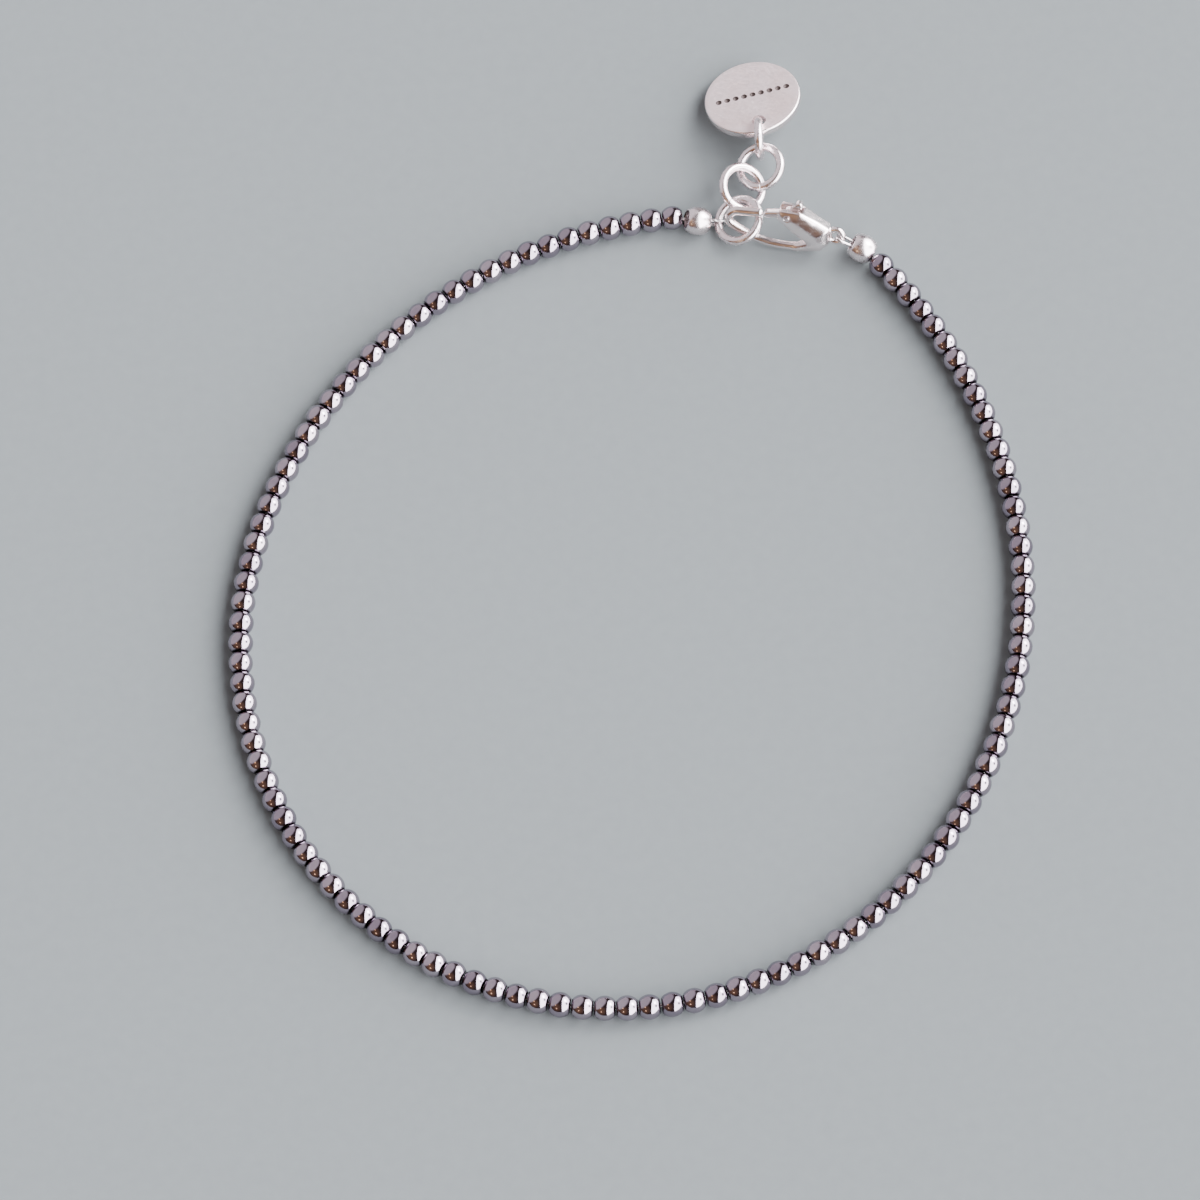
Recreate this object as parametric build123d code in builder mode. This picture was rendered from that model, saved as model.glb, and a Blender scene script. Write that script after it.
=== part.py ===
"""Beaded anklet: one closed strand of small metallic beads, a lobster clasp, and a tag on a tail of rings.

Units are millimetres and degrees. The anklet lies on the plane z = 0 with +Z up. The strand's loop is
about the origin, and its clasp and tag are at +Y.
"""

import os
from math import asin, atan2, cos, degrees, hypot, radians, sin

from build123d import *

# ---- Strand -----------------------------------------------------------------------------------------
BEAD_DIAMETER = 2.28
BEAD_LENGTH = 1.90
BEAD_PITCH = 1.946
BEAD_END_DIAMETER = 1.36
BEAD_EDGE = 0.08
BEAD_HEIGHT = BEAD_DIAMETER / 2 + 0.01
WIRE_DIAMETER = 0.30

FIRST_BEAD = (25.55, 24.06)
FIRST_HEADING = -54.2
# Runs of the strand from the clasp's end round to the ring's end. Each bends clockwise with one radius.
# (beads, bend radius)
STRAND_RUNS = [
    (14, 50.3),
    (14, 44.2),
    (14, 36.7),
    (14, 32.6),
    (13, 34.2),
    (13, 37.6),
    (13, 43.3),
    (14, 42.8),
]

# ---- Crimp beads and the wire's end loops --------------------------------------------------------------
CRIMP_DIAMETER = 2.60
CRIMP_LENGTH = 2.15
CRIMP_END_DIAMETER = 1.90
CRIMP_BORE = 1.36
CRIMP_EDGE = 0.10
CRIMP_AT_RING = (9.26, 30.20, 1.33)
CRIMP_AT_CLASP = (23.95, 25.84, 1.42)
LOOP_LEG_START = -0.45
LOOP_LEG_SPREAD = 0.18
LOOP_CLEARANCE = 0.05

# ---- Rings -----------------------------------------------------------------------------------------------
RING_WIRE = 0.80
# (name, centre, facing, diameter along the middle of the wire)
RINGS = [
    ("end_ring", (13.04, 29.79, 1.53), (-0.404, -0.065, 1.0), 4.04),
    ("chain_ring", (13.66, 32.83, 2.00), (0.507, -0.264, 1.0), 3.96),
    ("tag_ring", (15.47, 34.68, 2.20), (-0.346, -0.097, 1.0), 3.90),
    ("tag_jump_ring", (15.61, 37.35, 2.70), (1.0, -0.051, 0.037), 3.24),
]

# ---- Tag -------------------------------------------------------------------------------------------------
TAG_CENTRE = (15.44, 41.87, 1.86)
TAG_FACING = (-0.109, 0.271, 1.0)
TAG_LEVEL = (1.0, 0.0, 0.109)
TAG_DIAMETER = 8.90
TAG_THICKNESS = 0.80
TAG_EDGE = 0.12
TAG_HOLE_DIAMETER = 1.28
TAG_HOLE_PLACE = (0.45, -3.05)

# ---- Lobster clasp, drawn flat: x from the nose to the tail, y to the lever's side ------------------------
CLASP_NOSE = (11.64, 29.83, 1.93)
CLASP_TAIL = (22.47, 26.63, 2.45)
CLASP_LEAN = 59.0
HOOK_WIRE = 0.84
HOOK_START = (9.00, -1.10)
HOOK_HEADING = 203.0
ARM_RADIUS = 8.60
ARM_TURN = 56.8
NOSE_RADIUS = 0.80
NOSE_TURN = 142.2
HOOK_TIP = 2.00
CHEEK_THICKNESS = 2.20
CHEEK_OUTLINE = [
    (5.00, 1.40),
    (5.15, 2.30),
    (7.20, 2.25),
    (9.90, 0.85),
    (9.90, -0.75),
    (9.20, -1.55),
    (7.90, -1.55),
    (8.00, -0.95),
]
CHEEK_CORNER = 0.30
CHEEK_EDGE = 0.28
EYE_PLACE = (10.45, 0.0)
EYE_DIAMETER = 1.28
EYE_WIRE = 0.56
PIVOT = (6.00, 1.60)
PIN_DIAMETER = 0.44
PIN_CLEARANCE = 0.04
SLOT_WIDTH = 0.96
SLOT_FRONT = 4.50
SLOT_BACK = 7.30
SLOT_FLOOR = 0.88
LEVER_THICKNESS = 0.80
LEVER_HUB = 1.24
LEVER_TIP = (4.03, 1.34)
LEVER_BEAM = 0.62
LEVER_NUB = (6.92, 2.66)
LEVER_NUB_WIDTH = 0.70
LEVER_EDGE = 0.14

os.makedirs("parts", exist_ok=True)


def bead_places():
    """The strand's beads in order, one list for each run: (centre, heading in degrees)."""
    x, y = FIRST_BEAD
    heading = FIRST_HEADING
    runs = []
    for count, bend_radius in STRAND_RUNS:
        turn = degrees(BEAD_PITCH / bend_radius)
        run = []
        for _ in range(count):
            run.append(((x, y, BEAD_HEIGHT), heading))
            chord = radians(heading - turn / 2)
            x += BEAD_PITCH * cos(chord)
            y += BEAD_PITCH * sin(chord)
            heading -= turn
        runs.append(run)
    return runs


def thread_plane(centre, heading):
    """A plane across the wire at a bead, with its z along the wire."""
    return Plane(origin=centre, x_dir=(0, 0, 1), z_dir=(cos(radians(heading)), sin(radians(heading)), 0))


def bead_solid(diameter, length, end_diameter, edge, bore=0.0):
    """A round bead along Z about the origin, with flat ends, and with a bore if that isn't zero."""
    with BuildPart() as bead:
        with BuildSketch(Plane.XZ):
            with BuildLine():
                Polyline(
                    (end_diameter / 2, length / 2),
                    (bore / 2, length / 2),
                    (bore / 2, -length / 2),
                    (end_diameter / 2, -length / 2),
                )
                ThreePointArc(
                    (end_diameter / 2, -length / 2),
                    (diameter / 2, 0),
                    (end_diameter / 2, length / 2),
                )
            make_face()
        revolve(axis=Axis.Z)
        rims = bead.edges().filter_by(GeomType.CIRCLE).filter_by(lambda rim: abs(rim.center().Z) > length / 4)
        fillet(rims, radius=edge)
    return bead.part


def strand_run(bead, places):
    """A run of beads on its length of wire, as one solid."""
    with BuildPart() as run:
        with Locations(*[thread_plane(*place) for place in places]):
            add(bead)
        for (start, _), (end, _) in zip(places, places[1:]):
            neck = Vector(*end) - Vector(*start)
            with Locations(Plane(origin=start, x_dir=(0, 0, 1), z_dir=neck)):
                Cylinder(WIRE_DIAMETER / 2, neck.length, align=(Align.CENTER, Align.CENTER, Align.MIN))
    return run.part


def wire_loop(start, target, across, target_wire):
    """The wire's end loop: two legs from inside a crimp bead at start, round a wire whose middle is target."""
    reach = (target - start).length
    bend = (target_wire + WIRE_DIAMETER) / 2 + LOOP_CLEARANCE
    leg = hypot(reach - LOOP_LEG_START, LOOP_LEG_SPREAD)
    rise = asin(bend / leg) - atan2(LOOP_LEG_SPREAD, reach - LOOP_LEG_START)
    touch = (reach - bend * sin(rise), bend * cos(rise))
    loop_plane = Plane(origin=start, x_dir=target - start, z_dir=(target - start).cross(across))
    with BuildPart() as loop:
        with BuildLine(loop_plane) as path:
            Line((LOOP_LEG_START, LOOP_LEG_SPREAD), touch)
            ThreePointArc(touch, (reach + bend, 0), (touch[0], -touch[1]))
            Line((touch[0], -touch[1]), (LOOP_LEG_START, -LOOP_LEG_SPREAD))
        with BuildSketch(Plane(origin=path.line @ 0, z_dir=path.line % 0)):
            Circle(WIRE_DIAMETER / 2)
        sweep(path=path.line)
    return loop.part


def nearest_rim(hoop_plane, hoop_diameter, point):
    """The place on a hoop's middle line, about a plane's origin, that is nearest to a point outside it."""
    local = hoop_plane.to_local_coords(point)
    return hoop_plane.from_local_coords(Vector(local.X, local.Y).normalized() * hoop_diameter / 2)


def ring(centre, facing, mean_diameter):
    """A closed ring of round wire."""
    with BuildPart() as hoop:
        with Locations(Plane(origin=centre, z_dir=facing)):
            Torus(mean_diameter / 2, RING_WIRE / 2)
    return hoop.part


def keep(name, part):
    """Label a finished piece and write it."""
    part.label = name
    export_step(part, f"parts/{name}.step")


# ---- Strand -----------------------------------------------------------------------------------------
places_by_run = bead_places()
bead = bead_solid(BEAD_DIAMETER, BEAD_LENGTH, BEAD_END_DIAMETER, BEAD_EDGE)
for number, places in enumerate(places_by_run, start=1):
    keep(f"strand_{number}", strand_run(bead, places))

# ---- Rings ------------------------------------------------------------------------------------------------
for name, centre, facing, mean_diameter in RINGS:
    keep(name, ring(centre, facing, mean_diameter))

# ---- Tag --------------------------------------------------------------------------------------------------
with BuildPart() as tag:
    with BuildSketch(Plane(origin=TAG_CENTRE, x_dir=TAG_LEVEL, z_dir=TAG_FACING)):
        Circle(TAG_DIAMETER / 2)
        with Locations(TAG_HOLE_PLACE):
            Circle(TAG_HOLE_DIAMETER / 2, mode=Mode.SUBTRACT)
    extrude(amount=TAG_THICKNESS / 2, both=True)
    fillet(tag.edges().filter_by(GeomType.CIRCLE), radius=TAG_EDGE)
keep("tag_disc", tag.part)

# ---- Clasp ------------------------------------------------------------------------------------------------
clasp_length = Vector(*CLASP_TAIL) - Vector(*CLASP_NOSE)
level = Vector(0, 0, 1).cross(clasp_length).normalized()
lever_side = level.rotate(Axis((0, 0, 0), clasp_length), CLASP_LEAN)
clasp_plane = Plane(origin=CLASP_NOSE, x_dir=clasp_length, z_dir=clasp_length.cross(lever_side))

with BuildPart() as flat_body:
    with BuildSketch():
        with BuildLine():
            Polyline(*CHEEK_OUTLINE, close=True)
        cheek_face = make_face()
        fillet(cheek_face.vertices(), radius=CHEEK_CORNER)
    extrude(amount=CHEEK_THICKNESS / 2, both=True)
    fillet(flat_body.faces().filter_by(Plane.XY).edges(), radius=CHEEK_EDGE)
    with BuildLine() as hook_path:
        arm = JernArc(
            start=HOOK_START,
            tangent=(cos(radians(HOOK_HEADING)), sin(radians(HOOK_HEADING))),
            radius=ARM_RADIUS,
            arc_size=-ARM_TURN,
        )
        nose = JernArc(start=arm @ 1, tangent=arm % 1, radius=NOSE_RADIUS, arc_size=-NOSE_TURN)
        tip = Line(nose @ 1, (nose @ 1) + (nose % 1) * HOOK_TIP)
    with BuildSketch(Plane(origin=hook_path.line @ 0, z_dir=hook_path.line % 0)):
        Circle(HOOK_WIRE / 2)
    sweep(path=hook_path.line)
    with Locations(tip @ 1):
        Sphere(HOOK_WIRE / 2)
    with Locations(EYE_PLACE):
        Torus(EYE_DIAMETER / 2, EYE_WIRE / 2)
    with BuildSketch():
        with Locations(((SLOT_FRONT + SLOT_BACK) / 2, SLOT_FLOOR)):
            Rectangle(SLOT_BACK - SLOT_FRONT, LEVER_NUB[1], align=(Align.CENTER, Align.MIN))
    extrude(amount=SLOT_WIDTH / 2, both=True, mode=Mode.SUBTRACT)
    with Locations(PIVOT):
        Cylinder(PIN_DIAMETER / 2 + PIN_CLEARANCE, 2 * CHEEK_THICKNESS, mode=Mode.SUBTRACT)

with BuildPart() as flat_lever:
    with BuildSketch():
        with Locations(PIVOT):
            Circle(LEVER_HUB / 2)
        for end, width in ((LEVER_TIP, LEVER_BEAM), (LEVER_NUB, LEVER_NUB_WIDTH)):
            middle = ((PIVOT[0] + end[0]) / 2, (PIVOT[1] + end[1]) / 2)
            arm_length = hypot(end[0] - PIVOT[0], end[1] - PIVOT[1])
            arm_angle = degrees(atan2(end[1] - PIVOT[1], end[0] - PIVOT[0]))
            with Locations(Location((*middle, 0), (0, 0, arm_angle))):
                SlotCenterToCenter(arm_length, width)
    extrude(amount=LEVER_THICKNESS / 2, both=True)
    fillet(flat_lever.faces().filter_by(Plane.XY).edges(), radius=LEVER_EDGE)
    with Locations(PIVOT):
        Cylinder(PIN_DIAMETER / 2 + PIN_CLEARANCE, 2 * CHEEK_THICKNESS, mode=Mode.SUBTRACT)

with BuildPart() as flat_pin:
    with Locations(PIVOT):
        Cylinder(PIN_DIAMETER / 2, CHEEK_THICKNESS)

for name, flat_part in (
    ("clasp_body", flat_body.part),
    ("clasp_lever", flat_lever.part),
    ("clasp_pin", flat_pin.part),
):
    with BuildPart() as clasp_piece:
        with Locations(clasp_plane):
            add(flat_part)
    keep(name, clasp_piece.part)

# ---- Crimp beads and the wire's end loops, round the end ring and through the clasp's eye -------------------
end_ring_centre, end_ring_facing, end_ring_diameter = RINGS[0][1:]
end_ring_plane = Plane(origin=end_ring_centre, z_dir=end_ring_facing)
eye_plane = Plane(origin=clasp_plane.from_local_coords(EYE_PLACE), z_dir=clasp_plane.z_dir)
crimp = bead_solid(CRIMP_DIAMETER, CRIMP_LENGTH, CRIMP_END_DIAMETER, CRIMP_EDGE, CRIMP_BORE)
for end, crimp_centre, hoop_plane, hoop_diameter, hoop_wire in (
    ("ring_end", Vector(*CRIMP_AT_RING), end_ring_plane, end_ring_diameter, RING_WIRE),
    ("clasp_end", Vector(*CRIMP_AT_CLASP), eye_plane, EYE_DIAMETER, EYE_WIRE),
):
    rim = nearest_rim(hoop_plane, hoop_diameter, crimp_centre)
    with BuildPart() as placed_crimp:
        with Locations(Plane(origin=crimp_centre, z_dir=rim - crimp_centre)):
            add(crimp)
    keep(f"crimp_bead_{end}", placed_crimp.part)
    keep(f"wire_loop_{end}", wire_loop(crimp_centre, rim, hoop_plane.z_dir, hoop_wire))
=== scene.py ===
"""Looks for the beaded anklet: smooth beads on their wire, worn silver findings, and a plain studio."""

import math
import random

import bmesh
import bpy
from mathutils import Matrix, Vector


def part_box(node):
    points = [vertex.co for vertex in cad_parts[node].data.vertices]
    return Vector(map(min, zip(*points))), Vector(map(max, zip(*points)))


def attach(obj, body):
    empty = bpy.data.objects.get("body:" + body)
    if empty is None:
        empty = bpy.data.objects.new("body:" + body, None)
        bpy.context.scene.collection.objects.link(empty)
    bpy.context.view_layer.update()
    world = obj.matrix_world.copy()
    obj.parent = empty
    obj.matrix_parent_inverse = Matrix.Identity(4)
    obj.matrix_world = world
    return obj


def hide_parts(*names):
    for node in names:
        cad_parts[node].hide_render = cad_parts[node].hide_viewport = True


# Lengths are in millimetres and angles in degrees, unless a comment or a name says otherwise
MM = 0.001

# ---- Strand: the same runs as the solids ---------------------------------------------------------
BEAD_PITCH = 1.946
BEAD_HEIGHT = 1.15
FIRST_BEAD = (25.55, 24.06)
FIRST_HEADING = -54.2
# (beads, bend radius)
STRAND_RUNS = [
    (14, 50.3),
    (14, 44.2),
    (14, 36.7),
    (14, 32.6),
    (13, 34.2),
    (13, 37.6),
    (13, 43.3),
    (14, 42.8),
]
# Turned beads: (bore radius, end radius, middle radius, half length, rounding of the rims)
BEAD = (0.27, 0.68, 1.14, 0.95, 0.04)
CRIMP_BEAD = (0.68, 0.95, 1.30, 1.075, 0.12)
BEAD_STEPS = 32
CRIMP_BEAD_STEPS = 48
# Steps of a turned outline: round a rim, and from the rim to the middle, where the first step is longer
RIM_STEPS = 4
SWELL_STEPS = 10
SWELL_START = 1.6
# Where the bore has its inner row of points, as a share of the half length, and how far inside the end
# radius the rim's rounding is centred, as a share of that rounding
BORE_ROW = 0.45
RIM_INSET = 0.75
# How the beads differ: the most that they lean off the wire and shift along each axis of the surface, and
# the ranges of their width and length, as shares
BEAD_LEAN = 0.025
BEAD_SHIFT = 0.02
BEAD_WIDTHS = (0.965, 1.0)
BEAD_LENGTHS = (0.965, 0.99)
# How far beyond its end radius the painted shade in the crevice between two beads reaches
GAP_SHADE_REACH = 0.01
WIRE_RADIUS = 0.15
WIRE_STEPS = 10

# ---- Rings ---------------------------------------------------------------------------------------
# (name, centre, facing, diameter along the middle of the wire, seam angle)
RINGS = [
    ("end_ring", (13.04, 29.79, 1.53), (-0.404, -0.065, 1.0), 4.04, 40.0),
    ("chain_ring", (13.66, 32.83, 2.00), (0.507, -0.264, 1.0), 3.96, 160.0),
    ("tag_ring", (15.47, 34.68, 2.20), (-0.346, -0.097, 1.0), 3.90, -20.0),
    ("tag_jump_ring", (15.61, 37.35, 2.70), (1.0, -0.051, 0.037), 3.24, 200.0),
]
RING_WIRE_RADIUS = 0.40
RING_STEPS = 88
RING_WIRE_STEPS = 24
# The groove where a ring's cut ends meet: the steps across it, the stretch that they stand in for and its
# width, in radians round the ring, and its depth as a share of the wire's radius
SEAM_ANGLES = (-0.05, -0.03, -0.018, -0.008, 0.0, 0.008, 0.018, 0.03, 0.05)
SEAM_STRETCH = 0.06
SEAM_WIDTH = 0.010
SEAM_DEPTH = 0.16

# ---- Tag -----------------------------------------------------------------------------------------
TAG_CENTRE = (15.44, 41.87, 1.86)
TAG_FACING = (-0.109, 0.271, 1.0)
TAG_LEVEL = (1.0, 0.0, 0.109)
TAG_RADIUS = 4.45
TAG_THICKNESS = 0.80
TAG_EDGE = 0.16
TAG_EDGE_STEPS = 6
TAG_STEPS = 144
TAG_FACE_RINGS = (0.25, 0.5, 0.75, 0.9)
TAG_HOLE = (0.45, -3.05)
TAG_HOLE_RADIUS = 0.64
TAG_HOLE_STEPS = 48
TAG_DOTS = 9
TAG_DOT_SPACING = 0.80
TAG_DOT_RADIUS = 0.29
TAG_DOT_MIDDLE = (0.05, 0.30)
TAG_DOT_SLANT = 8.0
# A dot's punch is a ball with its middle this share of its radius above the face
TAG_DOT_RAISE = 0.15
TAG_DOT_STEPS = (20, 12)
# Where the tag's finishes change: just below its face, and part of the way over its rounded edge
TAG_DOT_RIM = 0.004
TAG_WALL_SHARE = 0.6
TAG_SHARP_DEGREES = 32.0

# ---- Clasp ---------------------------------------------------------------------------------------
# Its nose and tail, the lean of its lever's side, and the cheeks' outline in the clasp's flat plane
CLASP_NOSE = (11.64, 29.83, 1.93)
CLASP_TAIL = (22.47, 26.63, 2.45)
CLASP_LEAN = 59.0
CHEEKS = [
    (5.00, 1.40),
    (5.15, 2.30),
    (7.20, 2.25),
    (9.90, 0.85),
    (9.90, -0.75),
    (9.20, -1.55),
    (7.90, -1.55),
    (8.00, -0.95),
]
# The cheeks' half thickness in their middle, and how far in from their outline they are rounded
CHEEK_HALF = 1.10
CHEEK_ROUNDING = 1.30
# Their half thickness at the outline near the nose, and what it loses, and where, towards the tail
CHEEK_WALL = 0.84
CHEEK_WALL_LOSS = 0.38
CHEEK_TAPER_START = 7.0
CHEEK_TAPER_LENGTH = 1.6
# The swelling where the hook's wire runs into the cheeks: (x, y, radius)
HOOK_ROOT = [
    (8.90, -0.95, 0.84),
    (8.45, -1.10, 0.80),
    (8.00, -1.32, 0.70),
    (7.55, -1.52, 0.58),
    (7.05, -1.70, 0.48),
    (6.50, -1.85, 0.42),
]
HOOK_ROOT_STEPS = 32
# How much coarser the clasp's mesh is while its cheeks are domed
DOMING_VOXEL = 1.2

# ---- Camera --------------------------------------------------------------------------------------
# The point it looks at, its angle above the floor, its roll and its distance
LOOK_AT = (-2.74, -6.30, 0.6)
CAMERA_ELEVATION = 66.4
CAMERA_ROLL = -5.17
CAMERA_DISTANCE = 534.9
CAMERA_LENS = 180.0
CAMERA_SENSOR = 36.0
CAMERA_CLIP_M = (0.01, 20.0)

# ---- Studio: places and sizes in metres ----------------------------------------------------------
FLOOR_HALF = 3.0
# (name, location, width, height, power, colour)
SOFTBOXES = [
    ("key", (0.75, 0.28, 0.62), 0.34, 0.34, 9.0, (1.0, 0.985, 1.0)),
    ("lamp", (-0.54, -0.27, 0.67), 0.14, 0.11, 0.16, (1.0, 0.58, 0.28)),
    ("small_lamp", (-0.48, -0.64, 0.42), 0.13, 0.11, 0.20, (1.0, 0.66, 0.38)),
]

# ---- Surroundings: what the polished metal shows -------------------------------------------------
# Where each part lies: (direction, cosine at which it starts, cosine at which it is full)
WARM_SIDE = ((-0.56, -0.57, 0.60), 0.72, 1.0)
CEILING = ((-0.64, 0.625, 0.45), 0.54, 0.69)
PANEL_EDGE = ((1.0, -0.15, 0.0), 0.33, 0.39)
PANEL_END = ((0.0, -1.0, 0.0), -0.80, -0.68)
PANEL_FOOT = ((0.0, 0.0, 1.0), 0.0, 0.06)
PANEL_STAND = ((0.86, -0.09, 0.50), 0.972, 0.992)
# Their colours
ROOM_COLOUR = (0.062, 0.038, 0.040)
WARM_COLOUR = (0.34, 0.20, 0.125)
CEILING_COLOUR = (1.05, 0.96, 1.02)
PANEL_COLOUR = (13.0, 12.8, 13.2)
STAND_COLOUR = (1.2, 1.15, 1.25)

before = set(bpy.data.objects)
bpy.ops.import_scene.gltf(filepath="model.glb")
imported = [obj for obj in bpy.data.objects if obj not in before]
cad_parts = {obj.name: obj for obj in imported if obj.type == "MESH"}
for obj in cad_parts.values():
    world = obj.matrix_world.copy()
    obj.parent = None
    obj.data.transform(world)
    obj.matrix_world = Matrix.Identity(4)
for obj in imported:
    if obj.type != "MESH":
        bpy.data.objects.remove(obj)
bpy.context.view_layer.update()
chance = random.Random(7)


# ---- Node helpers --------------------------------------------------------------------------------
def new_material(name):
    """A node material, with its shader, its nodes and its links."""
    material = bpy.data.materials.new(name)
    material.use_nodes = True
    tree = material.node_tree
    return material, tree.nodes["Principled BSDF"], tree.nodes, tree.links


def noise(nodes, links, vector, scale, detail=4.0, roughness=0.55):
    """A noise texture's value, over a vector."""
    node = nodes.new("ShaderNodeTexNoise")
    node.inputs["Scale"].default_value = scale
    node.inputs["Detail"].default_value = detail
    node.inputs["Roughness"].default_value = roughness
    links.new(vector, node.inputs["Vector"])
    return node.outputs["Fac"]


def ramp(nodes, links, value, stops):
    """A colour ramp over a value: stops are (position, colour)."""
    node = nodes.new("ShaderNodeValToRGB")
    elements = node.color_ramp.elements
    while len(elements) < len(stops):
        elements.new(0.5)
    for element, (position, colour) in zip(elements, stops):
        element.position = position
        element.color = (*colour, 1.0)
    links.new(value, node.inputs["Fac"])
    return node.outputs["Color"]


def spread(nodes, links, value, low, high, start=0.3, end=0.7):
    """A value moved from one range to another."""
    node = nodes.new("ShaderNodeMapRange")
    node.inputs["From Min"].default_value = start
    node.inputs["From Max"].default_value = end
    node.inputs["To Min"].default_value = low
    node.inputs["To Max"].default_value = high
    links.new(value, node.inputs["Value"])
    return node.outputs["Result"]


def feed(links, value, socket):
    """Give a socket a link, a colour of three numbers, or one number."""
    if hasattr(value, "links"):
        links.new(value, socket)
    elif isinstance(value, tuple):
        socket.default_value = (*value, 1.0)
    else:
        socket.default_value = value


def mix_colour(nodes, links, factor, first, second, blend="MIX"):
    """Two colours mixed; each value may be a link or plain numbers."""
    node = nodes.new("ShaderNodeMix")
    node.data_type = "RGBA"
    node.blend_type = blend
    feed(links, factor, node.inputs["Factor"])
    feed(links, first, node.inputs[6])
    feed(links, second, node.inputs[7])
    return node.outputs[2]


def bump(nodes, links, height, distance, strength, normal=None):
    """A bump over a height, on top of another normal."""
    node = nodes.new("ShaderNodeBump")
    node.inputs["Strength"].default_value = strength
    node.inputs["Distance"].default_value = distance
    links.new(height, node.inputs["Height"])
    if normal:
        links.new(normal, node.inputs["Normal"])
    return node.outputs["Normal"]


def place(nodes, links, stretch=(1.0, 1.0, 1.0), turn=(0.0, 0.0, 0.0)):
    """The object's own coordinates, turned by an angle in radians round each axis, and stretched."""
    source = nodes.new("ShaderNodeTexCoord")
    mapping = nodes.new("ShaderNodeMapping")
    mapping.inputs["Scale"].default_value = stretch
    mapping.inputs["Rotation"].default_value = turn
    links.new(source.outputs["Object"], mapping.inputs["Vector"])
    return mapping.outputs["Vector"]


def toward(nodes, links, direction, start, end):
    """How far a look direction has come round to a given one: 0 at the first cosine, 1 at the second."""
    look = nodes.new("ShaderNodeTexCoord")
    dot = nodes.new("ShaderNodeVectorMath")
    dot.operation = "DOT_PRODUCT"
    dot.inputs[1].default_value = direction
    links.new(look.outputs["Generated"], dot.inputs[0])
    return spread(nodes, links, dot.outputs["Value"], 0.0, 1.0, start, end)


def both(nodes, links, first, second):
    """The product of two shares."""
    node = nodes.new("ShaderNodeMath")
    node.operation = "MULTIPLY"
    links.new(first, node.inputs[0])
    links.new(second, node.inputs[1])
    return node.outputs["Value"]


# ---- Materials: texture scales are per metre, and bump distances are in metres -------------------
def bead_material():
    """Polished metallic stone, lilac grey, each bead a little different."""
    material, shader, nodes, links = new_material("polished_hematite")
    where = place(nodes, links)
    tone = nodes.new("ShaderNodeAttribute")
    tone.attribute_name = "tone"
    tones = [(0.0, (0.31, 0.268, 0.318)), (0.5, (0.375, 0.328, 0.378)), (1.0, (0.44, 0.388, 0.432))]
    per_bead = ramp(nodes, links, tone.outputs["Fac"], tones)
    cloudy = noise(nodes, links, where, scale=1500.0, detail=3.0)
    clouds = ramp(nodes, links, cloudy, [(0.30, (0.86, 0.83, 0.88)), (0.75, (1.0, 1.0, 1.0))])
    polished = mix_colour(nodes, links, 1.0, per_bead, clouds, "MULTIPLY")
    # Painted shade: each bead's colour is darkened to near black at its ends, for the shade in the
    # crevice between beads
    painted_gap_shade = nodes.new("ShaderNodeAttribute")
    painted_gap_shade.attribute_name = "painted_gap_shade"
    gap_shade_share = spread(nodes, links, painted_gap_shade.outputs["Fac"], low=0.0, high=0.92, start=0.0, end=0.75)
    colour = mix_colour(nodes, links, gap_shade_share, polished, (0.022, 0.016, 0.020))
    links.new(colour, shader.inputs["Base Color"])
    shader.inputs["Metallic"].default_value = 1.0
    fine = noise(nodes, links, where, scale=5200.0, detail=5.0, roughness=0.6)
    links.new(spread(nodes, links, fine, low=0.05, high=0.13), shader.inputs["Roughness"])
    waves = bump(nodes, links, cloudy, distance=0.00004, strength=0.25)
    pits = bump(nodes, links, fine, distance=0.000006, strength=0.30, normal=waves)
    links.new(pits, shader.inputs["Normal"])
    return material


def silver_material(name, satin, tint, stretch=(1.0, 1.0, 1.0), turn=(0.0, 0.0, 0.0), fineness=2600.0):
    """Handled silver: fine scratches one way, faint dents, and a thin warm tarnish in patches.

    A higher satin is rougher, and a higher fineness has closer scratches.
    """
    material, shader, nodes, links = new_material(name)
    where = place(nodes, links)
    along = place(nodes, links, stretch, turn)
    patches = noise(nodes, links, where, scale=420.0, detail=5.0, roughness=0.6)
    tarnished = (tint[0] * 0.96, tint[1] * 0.92, tint[2] * 0.90)
    colour = ramp(nodes, links, patches, [(0.34, tarnished), (0.56, tint)])
    scratches = noise(nodes, links, along, scale=fineness, detail=6.0, roughness=0.65)
    streaks = ramp(nodes, links, scratches, [(0.30, (0.92, 0.91, 0.91)), (0.52, (1.0, 1.0, 1.0))])
    links.new(mix_colour(nodes, links, 0.5, colour, streaks, "MULTIPLY"), shader.inputs["Base Color"])
    shader.inputs["Metallic"].default_value = 1.0
    roughness = spread(nodes, links, scratches, low=satin * 0.75, high=satin * 1.5)
    links.new(roughness, shader.inputs["Roughness"])
    worn = noise(nodes, links, where, scale=900.0, detail=2.0)
    dents = bump(nodes, links, worn, distance=0.00002, strength=0.12)
    scored = bump(nodes, links, scratches, distance=0.000005, strength=0.20, normal=dents)
    links.new(scored, shader.inputs["Normal"])
    return material


def oxide_material():
    """The dark finish left in a punched hollow."""
    material, shader, nodes, links = new_material("oxidised_hollow")
    grain = noise(nodes, links, place(nodes, links), scale=5000.0)
    colour = ramp(nodes, links, grain, [(0.3, (0.045, 0.034, 0.034)), (0.8, (0.17, 0.132, 0.125))])
    links.new(colour, shader.inputs["Base Color"])
    shader.inputs["Metallic"].default_value = 0.6
    links.new(spread(nodes, links, grain, low=0.45, high=0.75), shader.inputs["Roughness"])
    links.new(bump(nodes, links, grain, distance=0.00001, strength=0.4), shader.inputs["Normal"])
    return material


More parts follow.
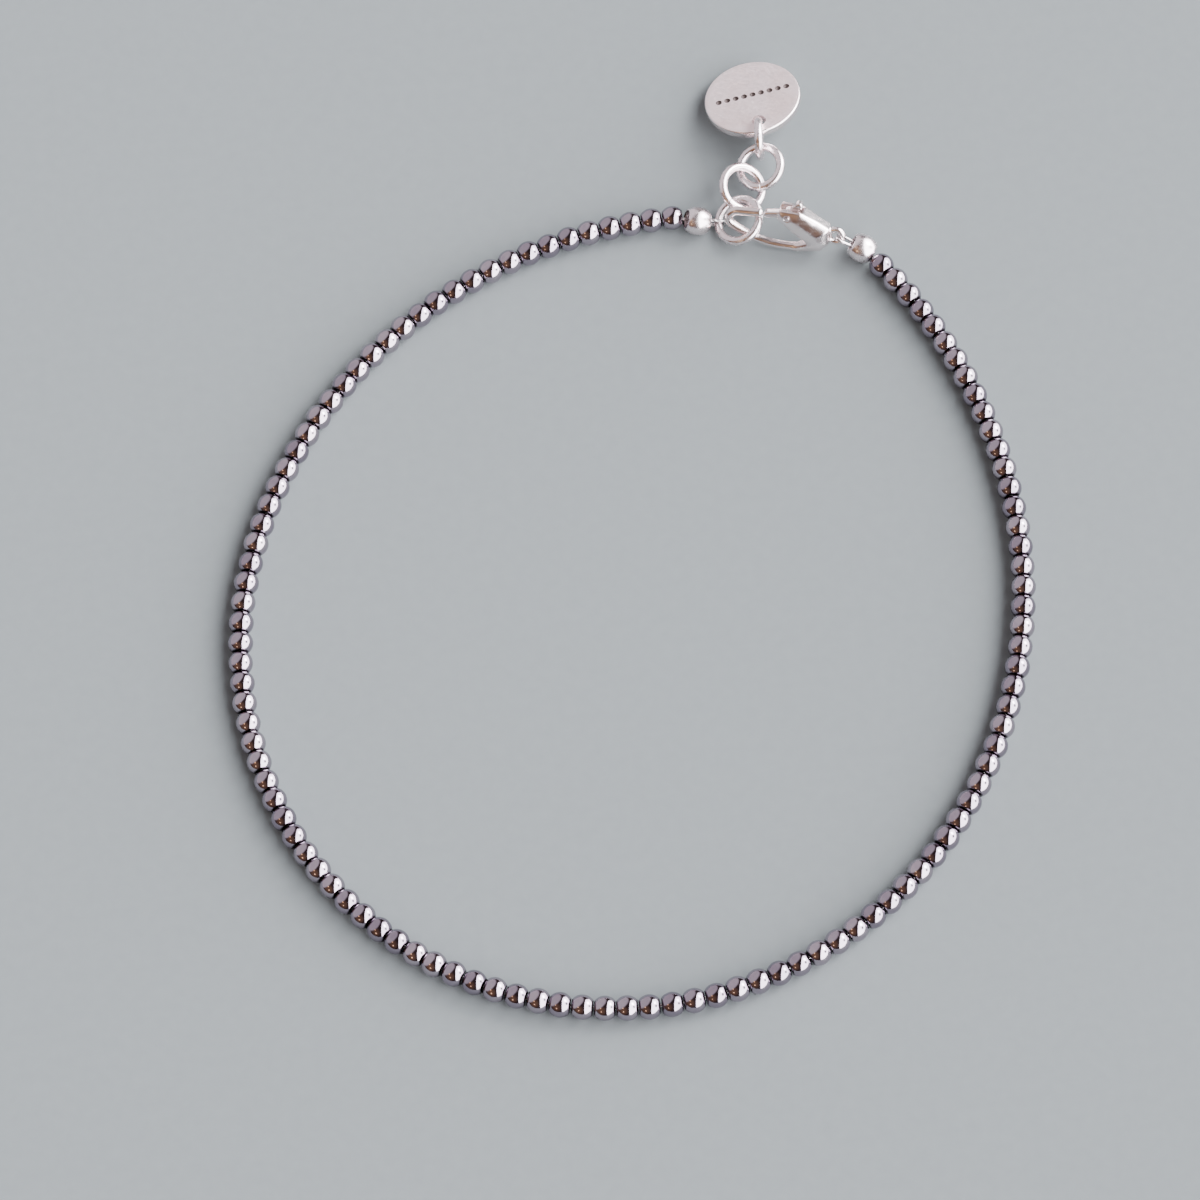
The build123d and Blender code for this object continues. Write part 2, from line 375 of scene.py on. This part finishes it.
def wire_material():
    """Stranded beading wire: the twist of its fine strands."""
    material, shader, nodes, links = new_material("stranded_wire")
    where = place(nodes, links)
    wave = nodes.new("ShaderNodeTexWave")
    wave.wave_type = "BANDS"
    wave.bands_direction = "DIAGONAL"
    wave.inputs["Scale"].default_value = 1400.0
    wave.inputs["Distortion"].default_value = 1.5
    links.new(where, wave.inputs["Vector"])
    twist = wave.outputs["Fac"]
    colour = ramp(nodes, links, twist, [(0.1, (0.42, 0.38, 0.39)), (0.7, (0.80, 0.76, 0.77))])
    links.new(colour, shader.inputs["Base Color"])
    shader.inputs["Metallic"].default_value = 1.0
    worn = noise(nodes, links, where, scale=4000.0)
    links.new(spread(nodes, links, worn, low=0.25, high=0.42), shader.inputs["Roughness"])
    links.new(bump(nodes, links, twist, distance=0.00003, strength=0.6), shader.inputs["Normal"])
    return material


def floor_material():
    """A plain pale surface with the faintest grain."""
    material, shader, nodes, links = new_material("pale_floor")
    grain = noise(nodes, links, place(nodes, links), scale=900.0)
    colour = ramp(nodes, links, grain, [(0.25, (0.138, 0.156, 0.162)), (0.75, (0.148, 0.166, 0.172))])
    links.new(colour, shader.inputs["Base Color"])
    shader.inputs["Roughness"].default_value = 0.85
    shader.inputs["Specular IOR Level"].default_value = 0.2
    return material


# ---- Mesh helpers: meshes are in millimetres until finish_mesh -----------------------------------
def add_object(name, data):
    """A new object in the scene."""
    added = bpy.data.objects.new(name, data)
    bpy.context.scene.collection.objects.link(added)
    return added


def mesh_from(name, vertices, faces):
    """A mesh from lists of vertices and faces."""
    mesh = bpy.data.meshes.new(name)
    mesh.from_pydata(vertices, [], faces)
    mesh.validate()
    return mesh


def finish_mesh(name, mesh, materials):
    """A smooth object for a mesh in millimetres."""
    mesh.transform(Matrix.Scale(MM, 4))
    for material in materials:
        mesh.materials.append(material)
    mesh.shade_smooth()
    mesh.update()
    return add_object(name, mesh)


def baked(temporary):
    """The mesh of an object with its modifiers, and the object removed."""
    bpy.context.view_layer.update()
    evaluated = temporary.evaluated_get(bpy.context.evaluated_depsgraph_get())
    mesh = bpy.data.meshes.new_from_object(evaluated)
    bpy.data.objects.remove(temporary)
    return mesh


def axes_matrix(x, y, z):
    """The rotation that turns the world's axes to three given ones."""
    return Matrix((x, y, z)).transposed()


def across(direction):
    """A rotation whose Z is the direction, and whose X is level."""
    z = Vector(direction).normalized()
    x = Vector((0, 0, 1)).cross(z)
    x = Vector((1, 0, 0)) if x.length < 1e-6 else x.normalized()
    return axes_matrix(x, z.cross(x), z)


def turned_outline(bore, end, middle, half_length, rim):
    """Half of a turned bead's outline, from its bore to its middle: (radius, distance along it)."""
    swell = ((middle - end) ** 2 + half_length**2) / (2 * (middle - end))
    widest = math.asin(half_length / swell)
    points = [(bore, half_length * BORE_ROW), (bore, half_length - rim)]
    for step in range(1, RIM_STEPS + 1):
        turn = math.pi / 2 * step / RIM_STEPS
        points.append((bore + rim * (1 - math.cos(turn)), half_length - rim * (1 - math.sin(turn))))
    lean = math.pi / 2 - widest
    for step in range(RIM_STEPS + 1):
        turn = math.pi / 2 - lean * step / RIM_STEPS
        radius = end - rim * RIM_INSET + rim * math.cos(turn)
        points.append((radius, half_length - rim + rim * math.sin(turn)))
    for step in range(SWELL_STEPS):
        turn = widest * (1 - (step + SWELL_START) / (SWELL_STEPS - 1 + SWELL_START))
        points.append((middle - swell + swell * math.cos(turn), swell * math.sin(turn)))
    return points


def lathe(outline, steps, vertices, faces, centre, turn, wide=1.0, long=1.0):
    """Add a turned shape, mirrored about its middle, to lists of vertices and faces."""
    profile = list(outline) + [(radius, -along) for radius, along in reversed(outline[:-1])]
    first = len(vertices)
    for radius, along in profile:
        for step in range(steps):
            angle = math.tau * step / steps
            x, y = radius * wide * math.cos(angle), radius * wide * math.sin(angle)
            vertices.append(Vector(centre) + turn @ Vector((x, y, along * long)))
    rows = len(profile)
    for row in range(rows):
        for step in range(steps):
            here = first + row * steps
            there = first + (row + 1) % rows * steps
            nxt = (step + 1) % steps
            faces.append((here + step, there + step, there + nxt, here + nxt))


def tube(name, points, radii, steps, closed=False):
    """A round tube through points, with a radius for each, as a mesh with capped or joined ends."""
    count = len(points)
    vertices, faces = [], []
    side = None
    for i, (point, radius) in enumerate(zip(points, radii)):
        ahead = points[(i + 1) % count] if closed or i + 1 < count else points[i]
        behind = points[i - 1] if closed or i else points[i]
        along = (Vector(ahead) - Vector(behind)).normalized()
        if side is None:
            side = along.orthogonal().normalized()
        side = (side - along * side.dot(along)).normalized()
        up = along.cross(side)
        for step in range(steps):
            angle = math.tau * step / steps
            aside, above = radius * math.cos(angle), radius * math.sin(angle)
            vertices.append(Vector(point) + side * aside + up * above)
    for i in range(count if closed else count - 1):
        for step in range(steps):
            nxt = (step + 1) % steps
            here, there = i * steps, (i + 1) % count * steps
            faces.append((here + step, here + nxt, there + nxt, there + step))
    if not closed:
        faces.append(tuple(reversed(range(steps))))
        faces.append(tuple(range((count - 1) * steps, count * steps)))
    return mesh_from(name, vertices, faces)


def node_middle(node):
    """The middle of a node's box."""
    low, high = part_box(node)
    return (low + high) / 2 / MM


# ---- Beads ---------------------------------------------------------------------------------------
def bead_places():
    """The strand's beads, one list for each run: (centre, direction of the wire)."""
    x, y = FIRST_BEAD
    heading = FIRST_HEADING
    runs = []
    for count, bend_radius in STRAND_RUNS:
        turn = math.degrees(BEAD_PITCH / bend_radius)
        run = []
        for _ in range(count):
            angle = math.radians(heading)
            run.append((Vector((x, y, BEAD_HEIGHT)), Vector((math.cos(angle), math.sin(angle), 0))))
            chord = math.radians(heading - turn / 2)
            x += BEAD_PITCH * math.cos(chord)
            y += BEAD_PITCH * math.sin(chord)
            heading -= turn
        runs.append(run)
    return runs


def bead_run(number, places, material):
    """One run of beads, each a little different in size and lie."""
    _, end, middle, _, _ = BEAD
    outline = turned_outline(*BEAD)
    profile = outline + outline[-2::-1]
    # Points near a bead's ends take the painted crevice shade
    gap_shades = [float(radius < end + GAP_SHADE_REACH) for radius, _ in profile for _ in range(BEAD_STEPS)]
    vertices, faces, tones = [], [], []
    for centre, along in places:
        lie = across(along + Vector([chance.uniform(-BEAD_LEAN, BEAD_LEAN) for _ in range(3)]))
        lie = lie @ Matrix.Rotation(chance.uniform(0, math.tau), 3, "Z")
        wide = chance.uniform(*BEAD_WIDTHS)
        shift_x = chance.uniform(-BEAD_SHIFT, BEAD_SHIFT)
        shift_y = chance.uniform(-BEAD_SHIFT, BEAD_SHIFT)
        # A narrower bead still lies on the surface
        nudge = Vector((shift_x, shift_y, -(1 - wide) * middle))
        long = chance.uniform(*BEAD_LENGTHS)
        before = len(vertices)
        lathe(outline, BEAD_STEPS, vertices, faces, centre + nudge, lie, wide, long)
        tones += [chance.random()] * (len(vertices) - before)
    mesh = mesh_from(f"beads_{number}", vertices, faces)
    attribute = mesh.attributes.new("tone", "FLOAT", "POINT")
    attribute.data.foreach_set("value", tones)
    attribute = mesh.attributes.new("painted_gap_shade", "FLOAT", "POINT")
    attribute.data.foreach_set("value", gap_shades * len(places))
    piece = finish_mesh(f"beads_{number}", mesh, [material])
    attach(piece, "anklet")
    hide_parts(f"strand_{number}")


def crimp_bead(node, along, material):
    """The silver bead over a crimp, turned with a bore."""
    vertices, faces = [], []
    outline = turned_outline(*CRIMP_BEAD)
    lathe(outline, CRIMP_BEAD_STEPS, vertices, faces, node_middle(node), across(along))
    piece = finish_mesh(node + "_turned", mesh_from(node, vertices, faces), [material])
    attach(piece, "anklet")
    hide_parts(node)


# ---- Rings ---------------------------------------------------------------------------------------
def apart(angle, other):
    """The angle between two directions round a ring, the short way."""
    return abs((angle - other + math.pi) % math.tau - math.pi)


def wire_ring(name, centre, facing, mean_diameter, seam, material):
    """A ring of round wire, with the fine groove where its cut ends meet."""
    turn = across(facing)
    start = math.radians(seam) % math.tau
    angles = [math.tau * i / RING_STEPS for i in range(RING_STEPS)]
    angles = [angle for angle in angles if apart(angle, start) > SEAM_STRETCH]
    angles += [(start + shift) % math.tau for shift in SEAM_ANGLES]
    angles.sort()
    points, radii = [], []
    for angle in angles:
        spoke = turn @ Vector((math.cos(angle), math.sin(angle), 0)) * (mean_diameter / 2)
        points.append(Vector(centre) + spoke)
        groove = SEAM_DEPTH * math.exp(-((apart(angle, start) / SEAM_WIDTH) ** 2))
        radii.append(RING_WIRE_RADIUS * (1 - groove))
    mesh = tube(name, points, radii, RING_WIRE_STEPS, closed=True)
    piece = finish_mesh(name + "_wire", mesh, [material])
    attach(piece, "anklet")
    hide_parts(name)


# ---- Tag: flat about the origin, until punched_tag lays it in its place --------------------------
def tag_blank():
    """The tag's disc with softened edges, as an object."""
    half = TAG_THICKNESS / 2
    outline = [(TAG_RADIUS * share, half) for share in TAG_FACE_RINGS]
    for step in range(TAG_EDGE_STEPS + 1):
        angle = math.pi / 2 * (1 - step / TAG_EDGE_STEPS)
        radius = TAG_RADIUS - TAG_EDGE + TAG_EDGE * math.cos(angle)
        outline.append((radius, half - TAG_EDGE + TAG_EDGE * math.sin(angle)))
    outline.append((TAG_RADIUS, 0.0))
    rows = outline + [(radius, -along) for radius, along in reversed(outline[:-1])]
    vertices, faces = [], []
    for radius, along in rows:
        for step in range(TAG_STEPS):
            angle = math.tau * step / TAG_STEPS
            vertices.append(Vector((radius * math.cos(angle), radius * math.sin(angle), along)))
    for row in range(len(rows) - 1):
        here, there = row * TAG_STEPS, (row + 1) * TAG_STEPS
        for step in range(TAG_STEPS):
            nxt = (step + 1) % TAG_STEPS
            faces.append((here + step, there + step, there + nxt, here + nxt))
    faces.append(tuple(range(TAG_STEPS)))
    faces.append(tuple(reversed(range(len(vertices) - TAG_STEPS, len(vertices)))))
    return add_object("tag_blank", mesh_from("tag_blank", vertices, faces))


def tag_dots():
    """The middles of the tag's plain row of dots."""
    x, y = TAG_DOT_MIDDLE
    slant = math.radians(TAG_DOT_SLANT)
    dots = []
    for i in range(TAG_DOTS):
        shift = (i - (TAG_DOTS - 1) / 2) * TAG_DOT_SPACING
        dots.append((x + shift * math.cos(slant), y + shift * math.sin(slant)))
    return dots


def tag_punches(dots):
    """What is taken out of the tag, as an object: its hole and its dots."""
    punches = bmesh.new()
    bmesh.ops.create_cone(
        punches,
        cap_ends=True,
        segments=TAG_HOLE_STEPS,
        radius1=TAG_HOLE_RADIUS,
        radius2=TAG_HOLE_RADIUS,
        depth=4 * TAG_THICKNESS,
        matrix=Matrix.Translation((*TAG_HOLE, 0)),
    )
    for x, y in dots:
        bmesh.ops.create_uvsphere(
            punches,
            u_segments=TAG_DOT_STEPS[0],
            v_segments=TAG_DOT_STEPS[1],
            radius=TAG_DOT_RADIUS,
            matrix=Matrix.Translation((x, y, TAG_THICKNESS / 2 + TAG_DOT_RADIUS * TAG_DOT_RAISE)),
        )
    mesh = bpy.data.meshes.new("tag_punches")
    punches.to_mesh(mesh)
    punches.free()
    return add_object("tag_punches", mesh)


def tag_finish(middle, dots):
    """The number of the finish that one of the tag's faces takes: 0 face, 1 hollow, 2 wall."""
    x, y, z = middle
    in_dot = any(math.hypot(x - dot_x, y - dot_y) < TAG_DOT_RADIUS for dot_x, dot_y in dots)
    if in_dot and 0 < z < TAG_THICKNESS / 2 - TAG_DOT_RIM:
        return 1
    if math.hypot(x, y) > TAG_RADIUS - TAG_EDGE * TAG_WALL_SHARE:
        return 2
    return 0


def keep_edges(piece, degrees):
    """Shade smooth, but keep edges sharper than an angle."""
    mesh = piece.data
    sharp = math.radians(degrees)
    work = bmesh.new()
    work.from_mesh(mesh)
    for corner in work.edges:
        corner.smooth = len(corner.link_faces) == 2 and corner.calc_face_angle(0.0) < sharp
    work.to_mesh(mesh)
    work.free()
    mesh.update()


def punched_tag(face, dark, polished):
    """The round tag: softened edges, a hole, and a plain row of punched dots."""
    disc = tag_blank()
    dots = tag_dots()
    punches = tag_punches(dots)
    cut = disc.modifiers.new("cut", "BOOLEAN")
    cut.operation = "DIFFERENCE"
    cut.solver = "EXACT"
    cut.object = punches
    mesh = baked(disc)
    bpy.data.objects.remove(punches)
    for polygon in mesh.polygons:
        polygon.material_index = tag_finish(polygon.center, dots)
    z = Vector(TAG_FACING).normalized()
    x = (Vector(TAG_LEVEL) - z * Vector(TAG_LEVEL).dot(z)).normalized()
    mesh.transform(Matrix.Translation(TAG_CENTRE) @ axes_matrix(x, z.cross(x), z).to_4x4())
    piece = finish_mesh("tag_disc_punched", mesh, [face, dark, polished])
    keep_edges(piece, TAG_SHARP_DEGREES)
    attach(piece, "anklet")
    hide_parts("tag_disc")


# ---- Clasp: softened copies of the solids, whose meshes are in metres ----------------------------
def remeshed(mesh, voxel, rounds):
    """A mesh rebuilt in small even faces, then smoothed."""
    temporary = add_object("blank", mesh)
    remesh = temporary.modifiers.new("remesh", "REMESH")
    remesh.mode = "VOXEL"
    remesh.voxel_size = voxel * MM
    if rounds:
        smooth = temporary.modifiers.new("smooth", "SMOOTH")
        smooth.factor = 0.5
        smooth.iterations = rounds
    return baked(temporary)


def clasp_flat():
    """The rotation from the anklet's axes to those of the clasp's flat plane."""
    length = (Vector(CLASP_TAIL) - Vector(CLASP_NOSE)).normalized()
    level = Vector((0, 0, 1)).cross(length).normalized()
    side = Matrix.Rotation(math.radians(CLASP_LEAN), 3, length) @ level
    return Matrix((length, side, length.cross(side)))


def inside_distance(x, y, outline):
    """How far a point lies inside an outline, or zero."""
    nearest, inside = 1e9, False
    for (x1, y1), (x2, y2) in zip(outline, outline[1:] + outline[:1]):
        share = ((x - x1) * (x2 - x1) + (y - y1) * (y2 - y1)) / ((x2 - x1) ** 2 + (y2 - y1) ** 2)
        share = max(0.0, min(1.0, share))
        nearest = min(nearest, math.hypot(x - x1 - share * (x2 - x1), y - y1 - share * (y2 - y1)))
        if (y1 > y) != (y2 > y) and x < x1 + (y - y1) / (y2 - y1) * (x2 - x1):
            inside = not inside
    return nearest if inside else 0.0


def dome_cheeks(mesh):
    """Round the clasp's flat cheeks off towards their outline, as they are on the cast piece."""
    flat = clasp_flat()
    for vertex in mesh.vertices:
        x, y, z = flat @ (vertex.co / MM - Vector(CLASP_NOSE))
        tapered = max(0.0, min(1.0, (x - CHEEK_TAPER_START) / CHEEK_TAPER_LENGTH))
        wall = CHEEK_WALL - CHEEK_WALL_LOSS * tapered
        depth = min(inside_distance(x, y, CHEEKS) / CHEEK_ROUNDING, 1.0)
        limit = wall + (CHEEK_HALF - wall) * math.sqrt(1 - (1 - depth) ** 2)
        if abs(z) > limit:
            z = math.copysign(limit, z)
            vertex.co = (flat.transposed() @ Vector((x, y, z)) + Vector(CLASP_NOSE)) * MM


def add_hook_root(mesh):
    """Join the swelling at the foot of the hook to a mesh of the clasp."""
    flat = clasp_flat()
    route = [flat.transposed() @ Vector((x, y, 0)) + Vector(CLASP_NOSE) for x, y, _ in HOOK_ROOT]
    root = tube("hook_root", route, [radius for _, _, radius in HOOK_ROOT], HOOK_ROOT_STEPS)
    root.transform(Matrix.Scale(MM, 4))
    joined = bmesh.new()
    joined.from_mesh(mesh)
    joined.from_mesh(root)
    joined.to_mesh(mesh)
    joined.free()
    bpy.data.meshes.remove(root)


def cast_copy(node, name, body, material, voxel, rounds, domed=False):
    """A cast, tumbled copy of a node: its edges softened all over."""
    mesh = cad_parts[node].data.copy()
    if domed:
        mesh = remeshed(mesh, voxel * DOMING_VOXEL, rounds=0)
        dome_cheeks(mesh)
        add_hook_root(mesh)
    mesh = remeshed(mesh, voxel, rounds)
    mesh.materials.clear()
    mesh.materials.append(material)
    mesh.shade_smooth()
    piece = add_object(name, mesh)
    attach(piece, body)
    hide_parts(node)


# ---- Studio --------------------------------------------------------------------------------------
def softbox(name, location, width, height, power, colour):
    """A rectangular area light that faces the origin."""
    data = bpy.data.lights.new(name, "AREA")
    data.shape = "RECTANGLE"
    data.size = width
    data.size_y = height
    data.energy = power
    data.color = colour
    light = add_object(name, data)
    light.location = location
    light.rotation_mode = "QUATERNION"
    light.rotation_quaternion = (-Vector(location)).to_track_quat("-Z", "Y")


# ---- Materials in use ----------------------------------------------------------------------------
hematite = bead_material()
silver = silver_material("handled_silver", satin=0.22, tint=(0.88, 0.80, 0.82))
cast_silver = silver_material(
    "cast_silver",
    satin=0.20,
    tint=(0.90, 0.82, 0.82),
    stretch=(0.35, 1.0, 1.0),
    turn=(0.0, 0.0, 0.3),
)
tag_silver = silver_material(
    "satin_silver",
    satin=0.42,
    tint=(0.95, 0.82, 0.825),
    stretch=(0.3, 1.0, 1.0),
    turn=(0.0, 0.0, 0.5),
    fineness=11000.0,
)
edge_silver = silver_material("edge_silver", satin=0.18, tint=(0.95, 0.87, 0.875), fineness=11000.0)
oxide = oxide_material()
steel_wire = wire_material()

# ---- The strand ----------------------------------------------------------------------------------
runs = bead_places()
for number, places in enumerate(runs, start=1):
    bead_run(number, places, hematite)

ring_crimp = node_middle("crimp_bead_ring_end")
clasp_crimp = node_middle("crimp_bead_clasp_end")
crimp_bead("crimp_bead_ring_end", node_middle("wire_loop_ring_end") - ring_crimp, silver)
crimp_bead("crimp_bead_clasp_end", node_middle("wire_loop_clasp_end") - clasp_crimp, silver)

route = [clasp_crimp] + [centre for run in runs for centre, _ in run] + [ring_crimp]
wire_mesh = tube("beading_wire", route, [WIRE_RADIUS] * len(route), WIRE_STEPS)
beading_wire = finish_mesh("beading_wire", wire_mesh, [steel_wire])
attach(beading_wire, "anklet")

# ---- The findings --------------------------------------------------------------------------------
for name, centre, facing, mean_diameter, seam in RINGS:
    wire_ring(name, centre, facing, mean_diameter, seam, silver)
punched_tag(tag_silver, oxide, edge_silver)
cast_copy("clasp_body", "clasp_body_cast", "anklet", cast_silver, voxel=0.05, rounds=20, domed=True)
cast_copy("clasp_lever", "clasp_lever_cast", "lever", cast_silver, voxel=0.04, rounds=12)
cast_copy("clasp_pin", "clasp_pin_turned", "anklet", silver, voxel=0.035, rounds=3)
for node in ("wire_loop_ring_end", "wire_loop_clasp_end"):
    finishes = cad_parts[node].data.materials
    finishes.clear()
    finishes.append(steel_wire)

# ---- The studio ----------------------------------------------------------------------------------
corners = [(x * FLOOR_HALF, y * FLOOR_HALF, 0) for x, y in ((-1, -1), (1, -1), (1, 1), (-1, 1))]
floor = add_object("floor", mesh_from("floor", corners, [(0, 1, 2, 3)]))
floor.data.materials.append(floor_material())

for settings in SOFTBOXES:
    softbox(*settings)

# ---- The surroundings ----------------------------------------------------------------------------
world = bpy.data.worlds.new("studio")
world.use_nodes = True
bpy.context.scene.world = world
sky = world.node_tree.nodes
sky_links = world.node_tree.links

# A dim room, warm on one side, under a pale slope of ceiling
warm_share = toward(sky, sky_links, *WARM_SIDE)
room = mix_colour(sky, sky_links, warm_share, ROOM_COLOUR, WARM_COLOUR)
ceiling_share = toward(sky, sky_links, *CEILING)
walls = mix_colour(sky, sky_links, ceiling_share, room, CEILING_COLOUR)

# A large white panel at the right, with a small dull patch where its stand crosses it
stand_share = toward(sky, sky_links, *PANEL_STAND)
panel = mix_colour(sky, sky_links, stand_share, PANEL_COLOUR, STAND_COLOUR)
panel_share = toward(sky, sky_links, *PANEL_EDGE)
for limit in (PANEL_END, PANEL_FOOT):
    panel_share = both(sky, sky_links, panel_share, toward(sky, sky_links, *limit))
backdrop = mix_colour(sky, sky_links, panel_share, walls, panel)
sky_links.new(backdrop, sky["Background"].inputs["Color"])
sky["Background"].inputs["Strength"].default_value = 1.0

# ---- The camera ----------------------------------------------------------------------------------
lift = math.radians(CAMERA_ELEVATION)
roll = math.radians(CAMERA_ROLL)
back = Vector((0, -math.cos(lift), math.sin(lift)))
right = Vector((1, 0, 0))
rolled_right = right * math.cos(roll) + back.cross(right) * math.sin(roll)
camera_data = bpy.data.cameras.new("camera")
camera_data.lens = CAMERA_LENS
camera_data.sensor_width = CAMERA_SENSOR
camera_data.clip_start, camera_data.clip_end = CAMERA_CLIP_M
camera = add_object("camera", camera_data)
camera_place = Matrix.Translation((Vector(LOOK_AT) + back * CAMERA_DISTANCE) * MM)
camera_turn = axes_matrix(rolled_right, back.cross(rolled_right), back)
camera.matrix_world = camera_place @ camera_turn.to_4x4()
bpy.context.scene.camera = camera
